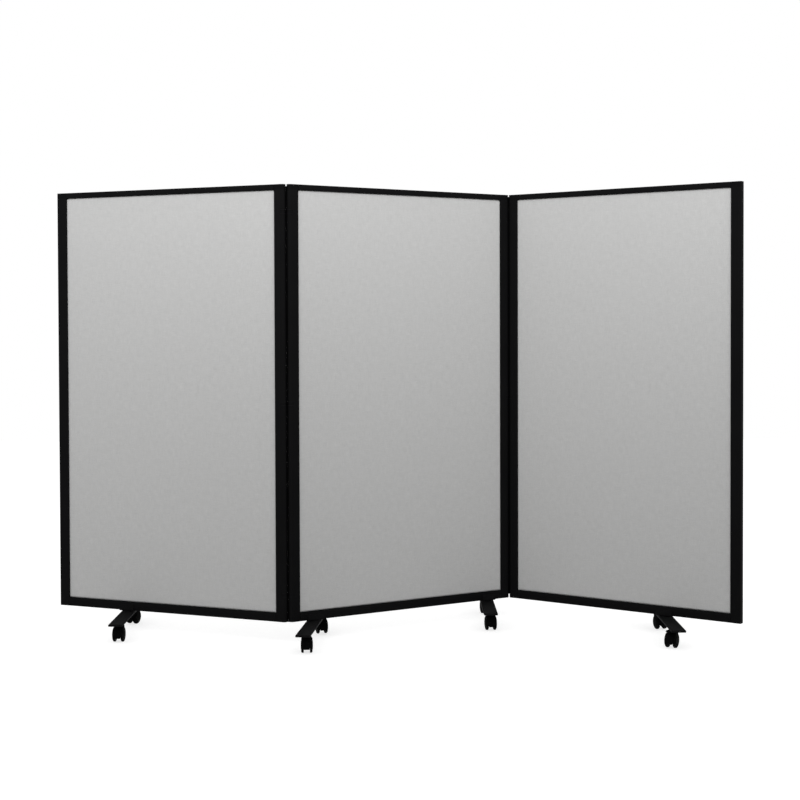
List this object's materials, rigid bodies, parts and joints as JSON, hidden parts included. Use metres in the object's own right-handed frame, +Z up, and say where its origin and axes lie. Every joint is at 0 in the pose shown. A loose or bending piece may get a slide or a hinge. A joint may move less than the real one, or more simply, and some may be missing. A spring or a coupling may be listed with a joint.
{
  "type": "rolling partition",
  "caption": "Free-standing folding room divider: framed fabric panels on two-way hinges, carried on swivelling cross-feet with twin-wheel casters.",
  "frame": {"origin": "on the floor, at the centre of the bounding box of the partition in its zigzag rest pose", "axes": "+Z up, -Y towards the front that the picture shows, +X towards the right panel"},
  "size_m": [2.326, 0.8764, 1.5239],
  "materials": {
    "frame_metal": "satin black powder coat on aluminium extrusion",
    "grey_fabric": "light grey woven upholstery fabric, matt",
    "infill_board": "hardboard",
    "hinge_plastic": "matt black plastic",
    "hinge_pin_steel": "bright drawn steel rod",
    "foot_metal": "semi-gloss black paint on flat steel bar",
    "caster_plastic": "fine textured black nylon",
    "wheel_nylon": "black nylon wheel"
  },
  "bodies": {
    "centre_panel": {"centre_panel_left_stile": "frame_metal", "centre_panel_right_stile": "frame_metal", "centre_panel_top_rail": "frame_metal", "centre_panel_bottom_rail": "frame_metal", "centre_panel_infill_board": "infill_board", "centre_panel_fabric_cover": "grey_fabric", "centre_left_foot_saddle": "foot_metal", "centre_right_foot_saddle": "foot_metal"},
    "left_link": {"left_hinge_link": "hinge_plastic", "left_hinge_inner_pin": "hinge_pin_steel", "left_hinge_outer_pin": "hinge_pin_steel"},
    "left_panel": {"left_panel_left_stile": "frame_metal", "left_panel_right_stile": "frame_metal", "left_panel_top_rail": "frame_metal", "left_panel_bottom_rail": "frame_metal", "left_panel_infill_board": "infill_board", "left_panel_fabric_cover": "grey_fabric", "left_foot_saddle": "foot_metal"},
    "right_link": {"right_hinge_link": "hinge_plastic", "right_hinge_inner_pin": "hinge_pin_steel", "right_hinge_outer_pin": "hinge_pin_steel"},
    "right_panel": {"right_panel_left_stile": "frame_metal", "right_panel_right_stile": "frame_metal", "right_panel_top_rail": "frame_metal", "right_panel_bottom_rail": "frame_metal", "right_panel_infill_board": "infill_board", "right_panel_fabric_cover": "grey_fabric", "right_foot_saddle": "foot_metal"},
    "left_foot": {"left_foot_crossbar": "foot_metal"},
    "centre_left_foot": {"centre_left_foot_crossbar": "foot_metal"},
    "centre_right_foot": {"centre_right_foot_crossbar": "foot_metal"},
    "right_foot": {"right_foot_crossbar": "foot_metal"},
    "left_foot_front_caster": {"left_foot_front_caster_body": "caster_plastic"},
    "left_foot_front_caster_left_wheel": {"left_foot_front_caster_left_wheel": "wheel_nylon"},
    "left_foot_front_caster_right_wheel": {"left_foot_front_caster_right_wheel": "wheel_nylon"},
    "left_foot_front_caster_pedal": {"left_foot_front_caster_brake_pedal": "caster_plastic"},
    "left_foot_rear_caster": {"left_foot_rear_caster_body": "caster_plastic"},
    "left_foot_rear_caster_left_wheel": {"left_foot_rear_caster_left_wheel": "wheel_nylon"},
    "left_foot_rear_caster_right_wheel": {"left_foot_rear_caster_right_wheel": "wheel_nylon"},
    "centre_left_foot_front_caster": {"centre_left_foot_front_caster_body": "caster_plastic"},
    "centre_left_foot_front_caster_left_wheel": {"centre_left_foot_front_caster_left_wheel": "wheel_nylon"},
    "centre_left_foot_front_caster_right_wheel": {"centre_left_foot_front_caster_right_wheel": "wheel_nylon"},
    "centre_left_foot_front_caster_pedal": {"centre_left_foot_front_caster_brake_pedal": "caster_plastic"},
    "centre_left_foot_rear_caster": {"centre_left_foot_rear_caster_body": "caster_plastic"},
    "centre_left_foot_rear_caster_left_wheel": {"centre_left_foot_rear_caster_left_wheel": "wheel_nylon"},
    "centre_left_foot_rear_caster_right_wheel": {"centre_left_foot_rear_caster_right_wheel": "wheel_nylon"},
    "centre_right_foot_front_caster": {"centre_right_foot_front_caster_body": "caster_plastic"},
    "centre_right_foot_front_caster_left_wheel": {"centre_right_foot_front_caster_left_wheel": "wheel_nylon"},
    "centre_right_foot_front_caster_right_wheel": {"centre_right_foot_front_caster_right_wheel": "wheel_nylon"},
    "centre_right_foot_front_caster_pedal": {"centre_right_foot_front_caster_brake_pedal": "caster_plastic"},
    "centre_right_foot_rear_caster": {"centre_right_foot_rear_caster_body": "caster_plastic"},
    "centre_right_foot_rear_caster_left_wheel": {"centre_right_foot_rear_caster_left_wheel": "wheel_nylon"},
    "centre_right_foot_rear_caster_right_wheel": {"centre_right_foot_rear_caster_right_wheel": "wheel_nylon"},
    "right_foot_front_caster": {"right_foot_front_caster_body": "caster_plastic"},
    "right_foot_front_caster_left_wheel": {"right_foot_front_caster_left_wheel": "wheel_nylon"},
    "right_foot_front_caster_right_wheel": {"right_foot_front_caster_right_wheel": "wheel_nylon"},
    "right_foot_front_caster_pedal": {"right_foot_front_caster_brake_pedal": "caster_plastic"},
    "right_foot_rear_caster": {"right_foot_rear_caster_body": "caster_plastic"},
    "right_foot_rear_caster_left_wheel": {"right_foot_rear_caster_left_wheel": "wheel_nylon"},
    "right_foot_rear_caster_right_wheel": {"right_foot_rear_caster_right_wheel": "wheel_nylon"}
  },
  "joints": [
    {"name": "left_hinge_inner", "type": "hinge", "parent": "centre_panel", "child": "left_link", "pos_m": [-0.32337, -0.22646, 0], "axis": [0, 0, -1], "range_deg": [-117.1, 62.9]},
    {"name": "left_hinge_outer", "type": "hinge", "parent": "left_link", "child": "left_panel", "pos_m": [-0.34879, -0.22842, 0], "axis": [0, 0, -1], "range_deg": [-117.1, 62.9]},
    {"name": "right_hinge_inner", "type": "hinge", "parent": "centre_panel", "child": "right_link", "pos_m": [0.41673, 0.22707, 0], "axis": [0, 0, -1], "range_deg": [-123.5, 56.5]},
    {"name": "right_hinge_outer", "type": "hinge", "parent": "right_link", "child": "right_panel", "pos_m": [0.44221, 0.22618, 0], "axis": [0, 0, -1], "range_deg": [-123.5, 56.5]},
    {"name": "left_foot_swivel", "type": "hinge", "parent": "left_panel", "child": "left_foot", "pos_m": [-0.90692, 0.00505, 0], "axis": [0, 0, 1], "range_deg": [-67.7, 22.3]},
    {"name": "centre_left_foot_swivel", "type": "hinge", "parent": "centre_panel", "child": "centre_left_foot", "pos_m": [-0.25345, -0.18362, 0], "axis": [0, 0, 1], "range_deg": [-8.5, 81.5]},
    {"name": "centre_right_foot_swivel", "type": "hinge", "parent": "centre_panel", "child": "centre_right_foot", "pos_m": [0.34681, 0.18422, 0], "axis": [0, 0, 1], "range_deg": [-13.5, 76.5]},
    {"name": "right_foot_swivel", "type": "hinge", "parent": "right_panel", "child": "right_foot", "pos_m": [0.93475, -0.12515, 0], "axis": [0, 0, 1], "range_deg": [-80.5, 9.5]},
    {"name": "left_foot_front_caster_brake", "type": "hinge", "parent": "left_foot_front_caster", "child": "left_foot_front_caster_pedal", "pos_m": [-0.90776, -0.16992, 0.0575], "axis": [0.9986, -0.0523, 0], "range_deg": [0, 14]},
    {"name": "centre_left_foot_front_caster_brake", "type": "hinge", "parent": "centre_left_foot_front_caster", "child": "centre_left_foot_front_caster_pedal", "pos_m": [-0.26647, -0.35799, 0.0575], "axis": [0.9986, 0.0523, 0], "range_deg": [0, 14]},
    {"name": "centre_right_foot_front_caster_brake", "type": "hinge", "parent": "centre_right_foot_front_caster", "child": "centre_right_foot_front_caster_pedal", "pos_m": [0.34904, 0.00938, 0.0575], "axis": [0.9903, 0.1392, 0], "range_deg": [0, 14]},
    {"name": "right_foot_front_caster_brake", "type": "hinge", "parent": "right_foot_front_caster", "child": "right_foot_front_caster_pedal", "pos_m": [0.92675, -0.29801, 0.0575], "axis": [0.866, -0.5, 0], "range_deg": [0, 14]},
    {"name": "left_foot_front_caster_swivel", "type": "hinge", "parent": "left_foot", "child": "left_foot_front_caster", "pos_m": [-0.90692, -0.15395, 0], "axis": [0, 0, 1], "continuous": true},
    {"name": "left_foot_rear_caster_swivel", "type": "hinge", "parent": "left_foot", "child": "left_foot_rear_caster", "pos_m": [-0.90692, 0.16405, 0], "axis": [0, 0, 1], "continuous": true},
    {"name": "centre_left_foot_front_caster_swivel", "type": "hinge", "parent": "centre_left_foot", "child": "centre_left_foot_front_caster", "pos_m": [-0.26731, -0.34201, 0], "axis": [0, 0, 1], "continuous": true},
    {"name": "centre_left_foot_rear_caster_swivel", "type": "hinge", "parent": "centre_left_foot", "child": "centre_left_foot_rear_caster", "pos_m": [-0.23959, -0.02522, 0], "axis": [0, 0, 1], "continuous": true},
    {"name": "centre_right_foot_front_caster_swivel", "type": "hinge", "parent": "centre_right_foot", "child": "centre_right_foot_front_caster", "pos_m": [0.34681, 0.02522, 0], "axis": [0, 0, 1], "continuous": true},
    {"name": "centre_right_foot_rear_caster_swivel", "type": "hinge", "parent": "centre_right_foot", "child": "centre_right_foot_rear_caster", "pos_m": [0.34681, 0.34322, 0], "axis": [0, 0, 1], "continuous": true},
    {"name": "right_foot_front_caster_swivel", "type": "hinge", "parent": "right_foot", "child": "right_foot_front_caster", "pos_m": [0.93475, -0.28415, 0], "axis": [0, 0, 1], "continuous": true},
    {"name": "right_foot_rear_caster_swivel", "type": "hinge", "parent": "right_foot", "child": "right_foot_rear_caster", "pos_m": [0.93475, 0.03385, 0], "axis": [0, 0, 1], "continuous": true},
    {"name": "left_foot_front_caster_left_wheel_spin", "type": "hinge", "parent": "left_foot_front_caster", "child": "left_foot_front_caster_left_wheel", "pos_m": [-0.89819, -0.17443, 0.025], "axis": [-0.9986, 0.0523, 0], "continuous": true},
    {"name": "left_foot_front_caster_right_wheel_spin", "type": "hinge", "parent": "left_foot_front_caster", "child": "left_foot_front_caster_right_wheel", "pos_m": [-0.91776, -0.17341, 0.025], "axis": [-0.9986, 0.0523, 0], "continuous": true},
    {"name": "left_foot_rear_caster_left_wheel_spin", "type": "hinge", "parent": "left_foot_rear_caster", "child": "left_foot_rear_caster_left_wheel", "pos_m": [-0.90533, 0.14184, 0.025], "axis": [-0.9272, 0.3746, 0], "continuous": true},
    {"name": "left_foot_rear_caster_right_wheel_spin", "type": "hinge", "parent": "left_foot_rear_caster", "child": "left_foot_rear_caster_right_wheel", "pos_m": [-0.9235, 0.14918, 0.025], "axis": [-0.9272, 0.3746, 0], "continuous": true},
    {"name": "centre_left_foot_front_caster_left_wheel_spin", "type": "hinge", "parent": "centre_left_foot_front_caster", "child": "centre_left_foot_front_caster_left_wheel", "pos_m": [-0.25647, -0.36147, 0.025], "axis": [-0.9986, -0.0523, 0], "continuous": true},
    {"name": "centre_left_foot_front_caster_right_wheel_spin", "type": "hinge", "parent": "centre_left_foot_front_caster", "child": "centre_left_foot_front_caster_right_wheel", "pos_m": [-0.27605, -0.3625, 0.025], "axis": [-0.9986, -0.0523, 0], "continuous": true},
    {"name": "centre_left_foot_rear_caster_left_wheel_spin", "type": "hinge", "parent": "centre_left_foot_rear_caster", "child": "centre_left_foot_rear_caster_left_wheel", "pos_m": [-0.22495, -0.04201, 0.025], "axis": [-0.9659, -0.2588, 0], "continuous": true},
    {"name": "centre_left_foot_rear_caster_right_wheel_spin", "type": "hinge", "parent": "centre_left_foot_rear_caster", "child": "centre_left_foot_rear_caster_right_wheel", "pos_m": [-0.24388, -0.04708, 0.025], "axis": [-0.9659, -0.2588, 0], "continuous": true},
    {"name": "centre_right_foot_front_caster_left_wheel_spin", "type": "hinge", "parent": "centre_right_foot_front_caster", "child": "centre_right_foot_front_caster_left_wheel", "pos_m": [0.3593, 0.00678, 0.025], "axis": [-0.9903, -0.1392, 0], "continuous": true},
    {"name": "centre_right_foot_front_caster_right_wheel_spin", "type": "hinge", "parent": "centre_right_foot_front_caster", "child": "centre_right_foot_front_caster_right_wheel", "pos_m": [0.33989, 0.00405, 0.025], "axis": [-0.9903, -0.1392, 0], "continuous": true},
    {"name": "centre_right_foot_rear_caster_left_wheel_spin", "type": "hinge", "parent": "centre_right_foot_rear_caster", "child": "centre_right_foot_rear_caster_left_wheel", "pos_m": [0.35993, 0.32523, 0.025], "axis": [-0.9848, -0.1736, 0], "continuous": true},
    {"name": "centre_right_foot_rear_caster_right_wheel_spin", "type": "hinge", "parent": "centre_right_foot_rear_caster", "child": "centre_right_foot_rear_caster_right_wheel", "pos_m": [0.34063, 0.32182, 0.025], "axis": [-0.9848, -0.1736, 0], "continuous": true},
    {"name": "right_foot_front_caster_left_wheel_spin", "type": "hinge", "parent": "right_foot_front_caster", "child": "right_foot_front_caster_left_wheel", "pos_m": [0.93324, -0.30637, 0.025], "axis": [-0.866, 0.5, 0], "continuous": true},
    {"name": "right_foot_front_caster_right_wheel_spin", "type": "hinge", "parent": "right_foot_front_caster", "child": "right_foot_front_caster_right_wheel", "pos_m": [0.91626, -0.29657, 0.025], "axis": [-0.866, 0.5, 0], "continuous": true},
    {"name": "right_foot_rear_caster_left_wheel_spin", "type": "hinge", "parent": "right_foot_rear_caster", "child": "right_foot_rear_caster_left_wheel", "pos_m": [0.94939, 0.01707, 0.025], "axis": [-0.9659, -0.2588, 0], "continuous": true},
    {"name": "right_foot_rear_caster_right_wheel_spin", "type": "hinge", "parent": "right_foot_rear_caster", "child": "right_foot_rear_caster_right_wheel", "pos_m": [0.93046, 0.012, 0.025], "axis": [-0.9659, -0.2588, 0], "continuous": true}
  ]
}
